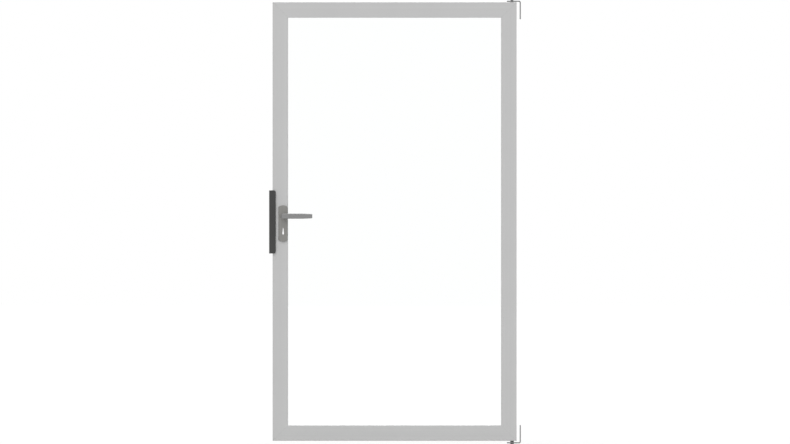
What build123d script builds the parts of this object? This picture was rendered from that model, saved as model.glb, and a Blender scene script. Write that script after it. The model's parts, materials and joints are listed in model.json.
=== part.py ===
from build123d import *
from math import cos, radians
import os

# Glass door: a clear pane in a mitred aluminium frame, hung on top and bottom pivot brackets,
# with a lever-handle lock in one stile and the keep that the lock closes into.
# Millimetres. X runs across the opening, from the keep to the pivots. Y runs through the door,
# from the closing side to the opening side. Z is up. The origin lies midway between the two wall
# planes, at the level of the lowest point, which is the foot of the bottom pivot pin.

os.makedirs("parts", exist_ok=True)

# Leaf and opening
leaf_width = 1140
leaf_height = 2050
leaf_depth = 50
lock_gap = 16
pivot_gap = 20
opening_width = lock_gap + leaf_width + pivot_gap

wall_keep = -opening_width / 2
wall_pivot = opening_width / 2
leaf_left = wall_keep + lock_gap
leaf_right = wall_pivot - pivot_gap
leaf_middle = (leaf_left + leaf_right) / 2
front = -leaf_depth / 2
back = leaf_depth / 2

# Door profile, measured from the leaf's outer edge inwards
face_width = 72
profile_wall = 2.2
edge_radius = 1.5
rebate_depth = 11
rebate_floor = face_width - rebate_depth
chamber_end = rebate_floor - profile_wall
chamber_width = chamber_end - profile_wall
chamber_depth = leaf_depth - 2 * profile_wall

# Glass and glazing
glass_thickness = 8
glass_arris = 0.8
gasket_thickness = 4
edge_clearance = 3
glass_edge = rebate_floor + edge_clearance
bed = glass_thickness / 2 + gasket_thickness
flange_depth = leaf_depth / 2 - bed
groove_mouth = 3.4
groove_room = 6.4
groove_lip = 1.8
groove_depth = 4.4
groove_centre = glass_edge + 2.2
gasket_play = 0.4
gasket_set_back = 0.6
gasket_bevel = 1.6
barb_nose = 1
rib_height = 3.4
rib_thickness = 1.4
bead_wall = 1.4
bead_relief = 0.3

# Pivot hardware
pivot_inset = 21
bracket_thickness = 5
bracket_width = 48
bracket_reach = 65
bracket_height = 86
bend_inside = 4
nose_bevel = 12
leg_bevel = 5
wall_screw_radius = 4.25
wall_screw_spacing = 44
pin_radius = 5
running_clearance = 0.075
pin_hole_play = 0.1
pin_engagement = 34
bush_radius = 8
bush_proud = 1.2
bush_length = 38
nut_across_flats = 17
nut_height = 8.4
pin_foot = 3.6
head_height = 5.5
head_rise = 8
bottom_gap = 7
top_gap = 2
thrust_play = 0.1

pivot_x = leaf_right - pivot_inset
bottom_plate_under = pin_foot + nut_height
bottom_plate_top = bottom_plate_under + bracket_thickness
leaf_bottom = bottom_plate_top + bottom_gap
leaf_top = leaf_bottom + leaf_height
leaf_centre = (leaf_bottom + leaf_top) / 2
top_plate_under = leaf_top + top_gap
top_plate_top = top_plate_under + bracket_thickness

# Lock and handle
handle_height = 1050
backset = 49
key_drop = 82
key_bulb = 4
key_tip = 1.5
key_slot_rise = 25
case_height = 148
case_depth = 58.4
case_thickness = 16
case_metal = 1.2
case_top_above_spindle = 50
faceplate_size = (24, 245)
faceplate_thickness = 2.5
latch_width = 12
latch_height = 20
latch_throw = 12
latch_rise = 31
bolt_width = 9
bolt_height = 34
sliding_gap = 0.3
follower_radius = 8
spindle_side = 8
plate_size = (42, 170)
plate_drop = 34.2
plate_thickness = 9
plate_metal = 2.6
plate_arch = 7.5
plate_bevel = 1.6
ring_half_width = 11
lever_length = 136
lever_height = 24
lever_tip_height = 20
lever_thickness = 9
lever_projection = 45
neck_width = 20
ring_proud = 1
lever_bevel = 1.6
lever_corner = 4
handle_screw_radius = 2.5
handle_screw_rise = 37
handle_screw_drop = 107

spindle_x = leaf_left + backset
spindle_z = leaf_bottom + handle_height
key_z = spindle_z - key_drop
plate_centre_z = spindle_z - plate_drop
case_top = spindle_z + case_top_above_spindle
case_bottom = case_top - case_height
latch_z = spindle_z + latch_rise
bolt_z = key_z + key_slot_rise / 2

# Keep
keep_width = 30.5
keep_height = 295
keep_drop = 27
keep_base = 11
keep_lip = 8
keep_corner = 9
keep_depth = 59
buffer_gap = 0.4
buffer_thickness = 3.6
strike_thickness = 2.5
strike_height = 250
keep_screw_radius = 2.75
keep_screw_head = 5
keep_screw_spacing = 228

keep_centre_z = spindle_z - keep_drop
keep_bottom = keep_centre_z - keep_height / 2
keep_front = front - buffer_gap - buffer_thickness - keep_lip
keep_face = wall_keep + keep_base


def finish(piece, name):
    """Labels a finished piece and writes it."""
    piece.label = name
    export_step(piece, f"parts/{name}.step")


def countersunk_screw(head_radius, shank_radius, length):
    """A countersunk socket screw: its head's face lies on XY and its shank points down."""
    with BuildPart() as screw:
        with BuildSketch(Plane.XZ):
            with BuildLine():
                Polyline(
                    (0, 0),
                    (head_radius, 0),
                    (shank_radius, shank_radius - head_radius),
                    (shank_radius, -length),
                    (0, -length),
                    close=True,
                )
            make_face()
        revolve(axis=Axis.Z)
        with BuildSketch():
            RegularPolygon(0.42 * head_radius, 6)
        extrude(amount=-0.55 * head_radius, mode=Mode.SUBTRACT)
    return screw.part


# The frame: one extruded profile, cut into four lengths that meet in mitres.
# Each side starts at a corner plane: its X points into the leaf and its normal runs along the side.
frame_sides = {
    "lock": (Plane((leaf_left, 0, leaf_bottom), x_dir=(1, 0, 0), z_dir=(0, 0, 1)), leaf_height),
    "hinge": (Plane((leaf_right, 0, leaf_top), x_dir=(-1, 0, 0), z_dir=(0, 0, -1)), leaf_height),
    "bottom": (Plane((leaf_right, 0, leaf_bottom), x_dir=(0, 0, 1), z_dir=(-1, 0, 0)), leaf_width),
    "top": (Plane((leaf_left, 0, leaf_top), x_dir=(0, 0, -1), z_dir=(1, 0, 0)), leaf_width),
}


def mitre_both_ends(corner, length):
    """Cuts the part being built at 45 degrees at both ends of a frame side."""
    split(bisect_by=Plane(corner.origin, z_dir=corner.z_dir - corner.x_dir))
    split(bisect_by=Plane(corner.offset(length).origin, z_dir=-corner.z_dir - corner.x_dir))


def gasket_groove(bed_y, inwards):
    """Cuts the undercut groove that holds a gasket, from the face at bed_y."""
    with Locations((groove_centre, bed_y + inwards * groove_lip / 2)):
        Rectangle(groove_mouth, groove_lip, mode=Mode.SUBTRACT)
    with Locations((groove_centre, bed_y + inwards * (groove_lip + groove_depth) / 2)):
        Rectangle(groove_room, groove_depth - groove_lip, mode=Mode.SUBTRACT)


def frame_profile(corner, length):
    """One mitred length of the hollow door profile, with its glazing flange and bead ribs."""
    with BuildPart() as member:
        with BuildSketch(corner) as section:
            with BuildLine():
                Polyline(
                    (0, front),
                    (face_width, front),
                    (face_width, -bed),
                    (rebate_floor, -bed),
                    (rebate_floor, back),
                    (0, back),
                    close=True,
                )
            make_face()
            outer = section.vertices().group_by(Axis.Y)[0] + section.vertices().group_by(Axis.X)[0]
            fillet(ShapeList(set(outer)), edge_radius)
            with Locations(((profile_wall + chamber_end) / 2, 0)):
                Rectangle(chamber_width, chamber_depth, mode=Mode.SUBTRACT)
            flange_room = rebate_depth - profile_wall
            flange_chamber = flange_depth - 2 * profile_wall - groove_depth
            with Locations((rebate_floor + flange_room / 2, front + profile_wall + flange_chamber / 2)):
                Rectangle(flange_room, flange_chamber, mode=Mode.SUBTRACT)
            gasket_groove(-bed, -1)
            for bead_inside, outwards in ((bed + groove_depth + bead_wall, 1), (back - bead_wall, -1)):
                with Locations((rebate_floor + rib_height / 2, bead_inside + outwards * rib_thickness / 2)):
                    Rectangle(rib_height, rib_thickness)
        extrude(amount=length)
        mitre_both_ends(corner, length)
    return member.part


def glazing_bead(corner, length):
    """One mitred length of the snap-on bead that holds the pane from the opening side."""
    bead_height = rebate_depth - bead_relief
    bead_middle = face_width - bead_height / 2
    with BuildPart() as bead:
        with BuildSketch(corner) as section:
            with Locations((bead_middle, (bed + back) / 2)):
                Rectangle(bead_height, flange_depth)
            chamfer(section.vertices().group_by(Axis.X)[-1].sort_by(Axis.Y)[-1], edge_radius)
            gasket_groove(bed, 1)
            hollow_start = bed + groove_depth + bead_wall
            hollow_end = back - bead_wall
            with Locations((bead_middle - bead_wall, (hollow_start + hollow_end) / 2)):
                Rectangle(bead_height, hollow_end - hollow_start, mode=Mode.SUBTRACT)
        extrude(amount=length)
        mitre_both_ends(corner, length)
    return bead.part


def gasket(corner, length, side):
    """One mitred length of glazing gasket. side is -1 in the front flange and 1 in the bead."""
    glass_face = side * glass_thickness / 2
    bed_face = side * bed
    glass_lip = glass_face + side * gasket_bevel
    stem_half = groove_mouth / 2 - gasket_play
    barb_half = groove_room / 2 - gasket_play
    stem_end = bed_face + side * groove_lip
    barb_start = stem_end + side * gasket_play
    barb_end = bed_face + side * (groove_depth - gasket_play)
    with BuildPart() as strip:
        with BuildSketch(corner):
            with BuildLine():
                Polyline(
                    (glass_edge + gasket_play, glass_face),
                    (face_width - gasket_set_back - gasket_bevel, glass_face),
                    (face_width - gasket_set_back, glass_lip),
                    (face_width - gasket_set_back, bed_face),
                    (groove_centre + stem_half, bed_face),
                    (groove_centre + stem_half, stem_end),
                    (groove_centre + barb_half, barb_start),
                    (groove_centre + barb_nose, barb_end),
                    (groove_centre - barb_nose, barb_end),
                    (groove_centre - barb_half, barb_start),
                    (groove_centre - stem_half, stem_end),
                    (groove_centre - stem_half, bed_face),
                    (glass_edge + gasket_play, bed_face),
                    close=True,
                )
            make_face()
        extrude(amount=length)
        mitre_both_ends(corner, length)
    return strip.part


spindle_place = (spindle_x, spindle_z)
handle_screw_places = (
    (spindle_x, spindle_z + handle_screw_rise),
    (spindle_x, spindle_z - handle_screw_drop),
)
faceplate_screw_inset = 14
faceplate_screw_rise = faceplate_size[1] / 2 - faceplate_screw_inset

# Slots routed through both faces of the lock stile, as distances from the spindle: one for the spindle
# and the upper handle screw, one for the key and the lower handle screw.
slot_width = 18
slot_margin = 4
case_play = 0.6
stile_slots = [
    (-slot_width / 2, handle_screw_rise + slot_margin),
    (-handle_screw_drop - slot_margin, key_slot_rise - key_drop + 2 * slot_margin),
]

with BuildPart() as lock_stile:
    add(frame_profile(*frame_sides["lock"]))
    with BuildSketch(Plane.YZ.offset(leaf_left)):
        with Locations((0, (case_top + case_bottom) / 2)):
            Rectangle(case_thickness + case_play, case_height + case_play)
        with Locations((0, keep_centre_z)):
            with GridLocations(0, 2 * faceplate_screw_rise, 1, 2):
                Circle(handle_screw_radius)
    extrude(amount=profile_wall + 1, mode=Mode.SUBTRACT)
    with BuildSketch(Plane.XZ):
        for slot_low, slot_high in stile_slots:
            with Locations((spindle_x, spindle_z + (slot_low + slot_high) / 2)):
                Rectangle(slot_width, slot_high - slot_low)
    extrude(amount=leaf_depth, both=True, mode=Mode.SUBTRACT)
finish(lock_stile.part, "lock_stile")

finish(frame_profile(*frame_sides["hinge"]), "hinge_stile")

for rail_name, rail_edge in (("top", leaf_top), ("bottom", leaf_bottom)):
    with BuildPart() as rail:
        add(frame_profile(*frame_sides[rail_name]))
        with BuildSketch(Plane.XY.offset(rail_edge)):
            with Locations((pivot_x, 0)):
                Circle(bush_radius)
        extrude(amount=profile_wall + 1, both=True, mode=Mode.SUBTRACT)
    finish(rail.part, f"{rail_name}_rail")

for side_name, side_frame in frame_sides.items():
    finish(glazing_bead(*side_frame), f"glazing_bead_{side_name}")
    finish(gasket(*side_frame, -1), f"front_gasket_{side_name}")
    finish(gasket(*side_frame, 1), f"rear_gasket_{side_name}")

# Corner cleats: slices of a ribbed L section that join the hollow profiles inside each mitre.
cleat_arm = 130
cleat_wall = 5
cleat_pocket = 28
bush_end_room = 2


def corner_cleat(x_side, z_side, pivot):
    """A cleat for one corner. A pivot corner keeps a solid block, bored for the pivot's bush."""
    outer_x = leaf_left if x_side > 0 else leaf_right
    outer_z = leaf_bottom if z_side > 0 else leaf_top
    normal = (0, -x_side * z_side, 0)
    plane = Plane((outer_x, 0, outer_z), x_dir=(x_side, 0, 0), z_dir=normal)
    middle = (profile_wall + chamber_end) / 2
    with BuildPart() as cleat:
        with BuildSketch(plane):
            with BuildLine():
                Polyline(
                    (profile_wall, profile_wall),
                    (cleat_arm, profile_wall),
                    (cleat_arm, chamber_end),
                    (chamber_end, chamber_end),
                    (chamber_end, cleat_arm),
                    (profile_wall, cleat_arm),
                    close=True,
                )
            make_face()
            pocket_width = chamber_width - 2 * cleat_wall
            for step in (0, 1):
                along = chamber_end + cleat_wall + cleat_pocket / 2 + step * (cleat_pocket + cleat_wall)
                with Locations((along, middle)):
                    Rectangle(cleat_pocket, pocket_width, mode=Mode.SUBTRACT)
                with Locations((middle, along)):
                    Rectangle(pocket_width, cleat_pocket, mode=Mode.SUBTRACT)
            if not pivot:
                with Locations((middle, middle)):
                    Rectangle(pocket_width, pocket_width, mode=Mode.SUBTRACT)
        extrude(amount=chamber_depth / 2, both=True)
        if pivot:
            with BuildSketch(Plane.XY.offset(outer_z)):
                with Locations((pivot_x, 0)):
                    Circle(bush_radius)
            extrude(amount=z_side * (bush_length + bush_end_room), mode=Mode.SUBTRACT)
    return cleat.part


finish(corner_cleat(1, 1, pivot=False), "corner_cleat_bottom")
finish(corner_cleat(1, -1, pivot=False), "corner_cleat_top")
finish(corner_cleat(-1, 1, pivot=True), "pivot_corner_bottom")
finish(corner_cleat(-1, -1, pivot=True), "pivot_corner_top")

# The pane and the blocks that carry it in the rebate.
with BuildPart() as glass_pane:
    with BuildSketch(Plane.XZ):
        with Locations((leaf_middle, leaf_centre)):
            Rectangle(leaf_width - 2 * glass_edge, leaf_height - 2 * glass_edge)
    extrude(amount=glass_thickness / 2, both=True)
    chamfer(glass_pane.faces().filter_by(Axis.Y).edges(), glass_arris)
finish(glass_pane.part, "glass_pane")

block_length = 100
block_inset = 150
block_thickness = glass_thickness - 0.4


def glazing_block(side_name, along):
    """A block between the rebate floor and the pane's edge, centred at a distance along a side."""
    corner, _ = frame_sides[side_name]
    with BuildPart() as block:
        with BuildSketch(corner.offset(along - block_length / 2)):
            with Locations((rebate_floor + edge_clearance / 2, 0)):
                Rectangle(edge_clearance, block_thickness)
        extrude(amount=block_length)
    return block.part


finish(glazing_block("bottom", block_inset), "setting_block_hinge_side")
finish(glazing_block("bottom", leaf_width - block_inset), "setting_block_lock_side")
finish(glazing_block("hinge", leaf_height - block_inset), "location_block_bottom")
finish(glazing_block("lock", leaf_height - block_inset), "location_block_top")


# Pivot brackets: flat steel bent to an L, one leg on the wall and one over or under the leaf.
def pivot_bracket(plate_face, plate_side):
    """plate_face is the level of the leg's face away from the leaf; plate_side points to the leaf."""
    inner = plate_face + plate_side * bracket_thickness
    leg_end = plate_face + plate_side * bracket_height
    inner_wall = wall_pivot - bracket_thickness
    with BuildPart() as bracket:
        with BuildSketch(Plane.XZ) as section:
            with BuildLine():
                Polyline(
                    (wall_pivot, plate_face),
                    (wall_pivot - bracket_reach, plate_face),
                    (wall_pivot - bracket_reach, inner),
                    (inner_wall, inner),
                    (inner_wall, leg_end),
                    (wall_pivot, leg_end),
                    close=True,
                )
            make_face()
            near_bend = section.vertices().sort_by_distance((wall_pivot, plate_face))
            fillet(near_bend[0], bend_inside + bracket_thickness)
            near_inside = section.vertices().sort_by_distance((inner_wall, inner))
            fillet(near_inside[0], bend_inside)
        extrude(amount=bracket_width / 2, both=True)
        chamfer(bracket.edges().filter_by(Axis.Z).group_by(Axis.X)[0], nose_bevel)
        leg_edges = bracket.edges().filter_by(Axis.X).sort_by(Axis.Z, reverse=plate_side > 0)
        chamfer(leg_edges[0:2], leg_bevel)
        with BuildSketch(Plane.XY.offset(plate_face)):
            with Locations((pivot_x, 0)):
                Circle(pin_radius + pin_hole_play)
        extrude(amount=plate_side * bracket_thickness, mode=Mode.SUBTRACT)
        hole_centre = plate_face + plate_side * (bracket_height + bracket_thickness + bend_inside) / 2
        with Locations(Plane((inner_wall, 0, hole_centre), x_dir=(0, 1, 0), z_dir=(-1, 0, 0))):
            with GridLocations(0, wall_screw_spacing, 1, 2):
                Hole(wall_screw_radius)
    return bracket.part


finish(pivot_bracket(top_plate_top, -1), "top_bracket")
finish(pivot_bracket(bottom_plate_under, 1), "bottom_bracket")


def pivot_pin(low, high, hexagon_low, hexagon_high):
    """A round pin on the pivot axis, from low to high, with a hexagon for a spanner between two levels."""
    with BuildPart() as pin:
        with BuildSketch(Plane.XY.offset(low)):
            with Locations((pivot_x, 0)):
                Circle(pin_radius)
        extrude(amount=high - low)
        with BuildSketch(Plane.XY.offset(hexagon_low)):
            with Locations((pivot_x, 0)):
                RegularPolygon(nut_across_flats / 2, 6, major_radius=False, rotation=30)
        extrude(amount=hexagon_high - hexagon_low)
    return pin.part


# The bottom pin's hexagon is a collar that carries the leaf. The top pin's is its head, which stands
# clear of the bracket, because the pin is threaded into it and turned to set how far it reaches.
collar_top = leaf_bottom - bush_proud - thrust_play
bottom_pin = pivot_pin(0, leaf_bottom + pin_engagement, bottom_plate_top, collar_top)
finish(bottom_pin, "bottom_pivot_pin")

head_top = top_plate_top + head_rise
top_pin = pivot_pin(leaf_top - pin_engagement, head_top - head_height, head_top - head_height, head_top)
finish(top_pin, "top_pivot_pin")

with BuildPart() as pivot_bushes:
    for bush_end, inwards in ((leaf_bottom, 1), (leaf_top, -1)):
        with BuildSketch(Plane.XY.offset(bush_end - inwards * bush_proud)):
            with Locations((pivot_x, 0)):
                Circle(bush_radius)
                Circle(pin_radius + running_clearance, mode=Mode.SUBTRACT)
        extrude(amount=inwards * (bush_length + bush_proud))
finish(pivot_bushes.part, "pivot_bushes")

with BuildPart() as pin_nut:
    with BuildSketch(Plane.XY.offset(pin_foot)):
        with Locations((pivot_x, 0)):
            RegularPolygon(nut_across_flats / 2, 6, major_radius=False, rotation=30)
            Circle(pin_radius, mode=Mode.SUBTRACT)
    extrude(amount=nut_height)
finish(pin_nut.part, "bottom_pin_nut")


# The keep: a base on the wall, pocketed for the latch and bolt, with a lip that the leaf shuts against.
# Its two wall screws also hold the strike plate, which lies flush in a recess.
strike_low = -13
strike_high = 19
strike_rim = 1
lip_bevel = 1.2
back_bevel = 2
latch_pocket = (18, 30)
bolt_pocket = (14, bolt_height + 6)
keep_front_plane = Plane((keep_face, 0, keep_centre_z), x_dir=(0, 1, 0), z_dir=(1, 0, 0))

with BuildPart() as keep_body:
    with BuildSketch(Plane.XY.offset(keep_bottom)):
        with BuildLine():
            Polyline(
                (wall_keep, keep_front),
                (wall_keep + keep_width, keep_front),
                (wall_keep + keep_width, keep_front + keep_lip),
                (keep_face, keep_front + keep_lip),
                (keep_face, keep_front + keep_depth),
                (wall_keep, keep_front + keep_depth),
                close=True,
            )
        make_face()
    extrude(amount=keep_height)
    lip_corners = keep_body.edges().filter_by(Axis.Y).group_by(Axis.X)[-1]
    fillet(lip_corners, keep_corner)
    front_face = keep_body.faces().sort_by(Axis.Y)[0]
    front_rim = front_face.edges().filter_by(lambda edge: edge.center().X > wall_keep + lip_bevel)
    chamfer(front_rim, lip_bevel)
    back_corner = keep_body.edges().filter_by(Axis.Z).group_by(Axis.Y)[-1].group_by(Axis.X)[-1]
    chamfer(back_corner, back_bevel)
    with BuildSketch(Plane.YZ.offset(keep_face)):
        with Locations(((strike_low + strike_high) / 2, keep_centre_z)):
            Rectangle(strike_high - strike_low, strike_height)
    extrude(amount=-strike_thickness, mode=Mode.SUBTRACT)
    with BuildSketch(Plane.YZ.offset(keep_face)):
        with Locations((0, latch_z)):
            Rectangle(*latch_pocket)
        with Locations((0, bolt_z)):
            Rectangle(*bolt_pocket)
    extrude(amount=-keep_base, mode=Mode.SUBTRACT)
    with Locations(keep_front_plane):
        with GridLocations(0, keep_screw_spacing, 1, 2):
            Hole(keep_screw_radius)
finish(keep_body.part, "keep_body")

with BuildPart() as strike_plate:
    with BuildSketch(Plane.YZ.offset(keep_face - strike_thickness)):
        with Locations(((strike_low + strike_high) / 2, keep_centre_z)):
            Rectangle(strike_high - strike_low, strike_height)
        with Locations((0, latch_z)):
            Rectangle(latch_pocket[0] - 2 * strike_rim, latch_pocket[1] - 2 * strike_rim, mode=Mode.SUBTRACT)
        with Locations((0, bolt_z)):
            Rectangle(bolt_pocket[0] - 2 * strike_rim, bolt_pocket[1] - 2 * strike_rim, mode=Mode.SUBTRACT)
    extrude(amount=strike_thickness)
    with Locations(keep_front_plane):
        with GridLocations(0, keep_screw_spacing, 1, 2):
            CounterSinkHole(keep_screw_radius, keep_screw_head, counter_sink_angle=90)
finish(strike_plate.part, "strike_plate")

buffer_width = 11
buffer_bevel = 1.6
with BuildPart() as keep_buffer:
    with BuildSketch(Plane.XY.offset(keep_bottom + 2 * keep_corner)) as buffer_section:
        buffer_middle = (leaf_left + wall_keep + keep_width) / 2
        with Locations((buffer_middle, front - buffer_gap - buffer_thickness / 2)):
            Rectangle(buffer_width, buffer_thickness)
        chamfer(buffer_section.vertices().group_by(Axis.Y)[-1], buffer_bevel)
    extrude(amount=keep_height - 4 * keep_corner)
finish(keep_buffer.part, "keep_buffer")

# The lock: a tray and cover in the stile's chamber, behind a faceplate on the leaf's edge.
case_front = -case_thickness / 2
case_slot_width = 9
cover_face = case_thickness / 2 - case_metal
case_middle = (leaf_left + case_depth / 2, (case_top + case_bottom) / 2)


def keyhole():
    """The keyhole in the XZ plane: a round bulb below and a slot above that tapers to its flat tip."""
    tip_z = key_z + key_slot_rise + key_tip
    with BuildSketch() as outline:
        with Locations((spindle_x, key_z)):
            Circle(key_bulb)
        with BuildLine():
            Polyline(
                (spindle_x - key_bulb, key_z),
                (spindle_x + key_bulb, key_z),
                (spindle_x + key_tip, tip_z),
                (spindle_x - key_tip, tip_z),
                close=True,
            )
        make_face()
    return outline.sketch


def case_side_holes():
    """The holes that both sides of the lock case share, in the XZ plane."""
    with BuildSketch() as holes:
        with Locations(spindle_place):
            Circle(follower_radius + running_clearance)
        with Locations(handle_screw_places[0]):
            Rectangle(case_slot_width, case_slot_width)
        with Locations((spindle_x, bolt_z)):
            Rectangle(2 * key_bulb + 2, key_slot_rise + 3 * key_bulb)
    return holes.sketch


with BuildPart() as lock_case:
    with BuildSketch(Plane.XZ.offset(-case_front)):
        with Locations(case_middle):
            Rectangle(case_depth, case_height)
    extrude(amount=case_front - cover_face)
    with BuildSketch(Plane.XZ.offset(-cover_face)):
        with Locations(case_middle):
            Rectangle(case_depth - 2 * case_metal, case_height - 2 * case_metal)
    extrude(amount=cover_face - case_front - case_metal, mode=Mode.SUBTRACT)
    with BuildSketch(Plane.XZ):
        add(case_side_holes())
    extrude(amount=case_thickness, both=True, mode=Mode.SUBTRACT)
    with BuildSketch(Plane.YZ.offset(leaf_left)):
        with Locations((0, latch_z)):
            Rectangle(latch_width + 2 * sliding_gap, latch_height + 2 * sliding_gap)
        with Locations((0, bolt_z)):
            Rectangle(bolt_width + 2 * sliding_gap, bolt_height + 2 * sliding_gap)
    extrude(amount=case_metal, mode=Mode.SUBTRACT)
finish(lock_case.part, "lock_case")

with BuildPart() as lock_cover:
    with BuildSketch(Plane.XZ.offset(-cover_face)):
        with Locations(case_middle):
            Rectangle(case_depth, case_height)
    extrude(amount=-case_metal)
    with BuildSketch(Plane.XZ):
        add(case_side_holes())
    extrude(amount=case_thickness, both=True, mode=Mode.SUBTRACT)
finish(lock_cover.part, "lock_cover")

screw_head_radius = 4.6
faceplate_screw_length = 14
faceplate_front = Plane(
    (leaf_left - faceplate_thickness, 0, keep_centre_z), x_dir=(0, -1, 0), z_dir=(-1, 0, 0)
)
with BuildPart() as faceplate:
    with BuildSketch(Plane.YZ.offset(leaf_left - faceplate_thickness)):
        with Locations((0, keep_centre_z)):
            Rectangle(*faceplate_size)
        with Locations((0, latch_z)):
            Rectangle(latch_width + 2 * sliding_gap, latch_height + 2 * sliding_gap, mode=Mode.SUBTRACT)
        with Locations((0, bolt_z)):
            Rectangle(bolt_width + 2 * sliding_gap, bolt_height + 2 * sliding_gap, mode=Mode.SUBTRACT)
    extrude(amount=faceplate_thickness)
    with Locations(faceplate_front):
        with GridLocations(0, 2 * faceplate_screw_rise, 1, 2):
            CounterSinkHole(handle_screw_radius, screw_head_radius, counter_sink_angle=90)
finish(faceplate.part, "lock_faceplate")

with BuildPart() as faceplate_screws:
    with Locations(faceplate_front):
        with GridLocations(0, 2 * faceplate_screw_rise, 1, 2):
            add(countersunk_screw(screw_head_radius, handle_screw_radius, faceplate_screw_length))
finish(faceplate_screws.part, "faceplate_screws")

# The latch: a bevelled head, a flat tail and the hook that the follower's arm draws back.
arm_reach = 19.5
arm_half = 2.5
arm_lean = 45
arm_gap = 1.0
head_depth = 20
tail_low = spindle_z + 23.5
tail_high = spindle_z + 31.5
tail_half = 3
hook_thickness = 4
hook_low = spindle_z + 15.6
latch_tip = leaf_left - faceplate_thickness - latch_throw
hook_x = spindle_x - arm_reach * cos(radians(arm_lean)) + arm_half + arm_gap
latch_nose = 0.8

with BuildPart() as latch_bolt:
    with BuildSketch(Plane.XY.offset(latch_z - latch_height / 2)):
        with BuildLine():
            Polyline(
                (latch_tip, latch_width / 2),
                (latch_tip + latch_width - 2, -latch_width / 2),
                (leaf_left + head_depth, -latch_width / 2),
                (leaf_left + head_depth, latch_width / 2),
                close=True,
            )
        make_face()
    extrude(amount=latch_height)
    with BuildSketch(Plane.XZ):
        with BuildLine():
            Polyline(
                (leaf_left + head_depth, tail_low),
                (hook_x, tail_low),
                (hook_x, hook_low),
                (hook_x + hook_thickness, hook_low),
                (hook_x + hook_thickness, tail_high),
                (leaf_left + head_depth, tail_high),
                close=True,
            )
        make_face()
    extrude(amount=tail_half, both=True)
    nose = latch_bolt.edges().filter_by(Axis.Z).group_by(Axis.X)[0]
    fillet(nose, latch_nose)
finish(latch_bolt.part, "latch_bolt")

with BuildPart() as follower:
    with BuildSketch(Plane.XZ):
        with Locations(spindle_place):
            Circle(follower_radius)
    extrude(amount=case_thickness / 2, both=True)
    with BuildSketch(Plane((spindle_x, 0, spindle_z), x_dir=(1, 0, 0), z_dir=(0, -1, 0))):
        with Locations(Rotation(0, 0, arm_lean)):
            with Locations((0, (arm_reach + arm_half) / 2)):
                Rectangle(2 * arm_half, arm_reach + arm_half)
    extrude(amount=tail_half, both=True)
    with BuildSketch(Plane.XZ):
        with Locations(spindle_place):
            Rectangle(spindle_side, spindle_side)
    extrude(amount=case_thickness, both=True, mode=Mode.SUBTRACT)
finish(follower.part, "lock_follower")

# The dead bolt, drawn back flush with the faceplate, with the notch that a key's bit pushes.
bolt_head_end = leaf_left + 24
bolt_tail_end = leaf_left + 40
tail_height = bolt_height - 6
talon = 8
with BuildPart() as dead_bolt:
    with BuildSketch(Plane.XZ):
        with Locations(((leaf_left - faceplate_thickness + bolt_head_end) / 2, bolt_z)):
            Rectangle(bolt_head_end - leaf_left + faceplate_thickness, bolt_height)
    extrude(amount=bolt_width / 2, both=True)
    with BuildSketch(Plane.XZ):
        with Locations(((bolt_head_end + bolt_tail_end) / 2, bolt_z)):
            Rectangle(bolt_tail_end - bolt_head_end, tail_height)
        with Locations((bolt_tail_end - talon / 2, bolt_z - talon / 2)):
            Rectangle(talon, talon, mode=Mode.SUBTRACT)
    extrude(amount=tail_half / 2, both=True)
finish(dead_bolt.part, "dead_bolt")


# Handle plates: shallow castings with arched ends, open at the back round the lever and keyhole.
def plate_outline():
    """A plate's outline with straight sides and arched ends, about its own centre."""
    half_width = plate_size[0] / 2
    half_height = plate_size[1] / 2
    shoulder = half_height - plate_arch
    with BuildSketch() as outline:
        with BuildLine():
            Line((-half_width, -shoulder), (-half_width, shoulder))
            ThreePointArc((-half_width, shoulder), (0, half_height), (half_width, shoulder))
            Line((half_width, shoulder), (half_width, -shoulder))
            ThreePointArc((half_width, -shoulder), (0, -half_height), (-half_width, -shoulder))
        make_face()
    return outline.sketch


# Pockets behind each plate, as distances from the spindle, between the bands that carry its ring and screws.
ring_band = 15
screw_band = 7
plate_pockets = [(ring_band, handle_screw_rise - screw_band), (screw_band - handle_screw_drop, -ring_band)]


def handle_plate(side):
    """side is -1 on the closing side and 1 on the opening side, where the screws' heads are."""
    seat = Plane((spindle_x, side * back, plate_centre_z), x_dir=(-side, 0, 0), z_dir=(0, side, 0))
    door_face = Plane.XZ.offset(-side * back)
    with BuildPart() as plate:
        with BuildSketch(seat):
            add(plate_outline())
        extrude(amount=plate_thickness)
        rim = plate.faces().filter_by(Axis.Y).sort_by(Axis.Y)[-max(side, 0)].edges()
        chamfer(rim, plate_bevel)
        with BuildSketch(door_face):
            for pocket_low, pocket_high in plate_pockets:
                with Locations((spindle_x, spindle_z + (pocket_low + pocket_high) / 2)):
                    Rectangle(plate_size[0] - 2 * plate_metal, pocket_high - pocket_low)
            with Locations(*handle_screw_places):
                Circle(handle_screw_radius)
        extrude(amount=-side * (plate_thickness - plate_metal), mode=Mode.SUBTRACT)
        with BuildSketch(door_face):
            with Locations(spindle_place):
                RegularPolygon(ring_half_width, 8, major_radius=False, rotation=22.5)
            add(keyhole())
        extrude(amount=-side * plate_thickness, mode=Mode.SUBTRACT)
    return plate.part


handle_screw_heads = Plane(
    (spindle_x, back + plate_thickness, spindle_z), x_dir=(1, 0, 0), z_dir=(0, 1, 0)
)
screw_offsets = [(0, -handle_screw_rise), (0, handle_screw_drop)]
handle_screw_length = leaf_depth + plate_thickness + 5

finish(handle_plate(-1), "outer_handle_plate")

with BuildPart() as inner_plate:
    add(handle_plate(1))
    with Locations(handle_screw_heads):
        with Locations(*screw_offsets):
            CounterSinkHole(handle_screw_radius, screw_head_radius, counter_sink_angle=90)
finish(inner_plate.part, "inner_handle_plate")

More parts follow.
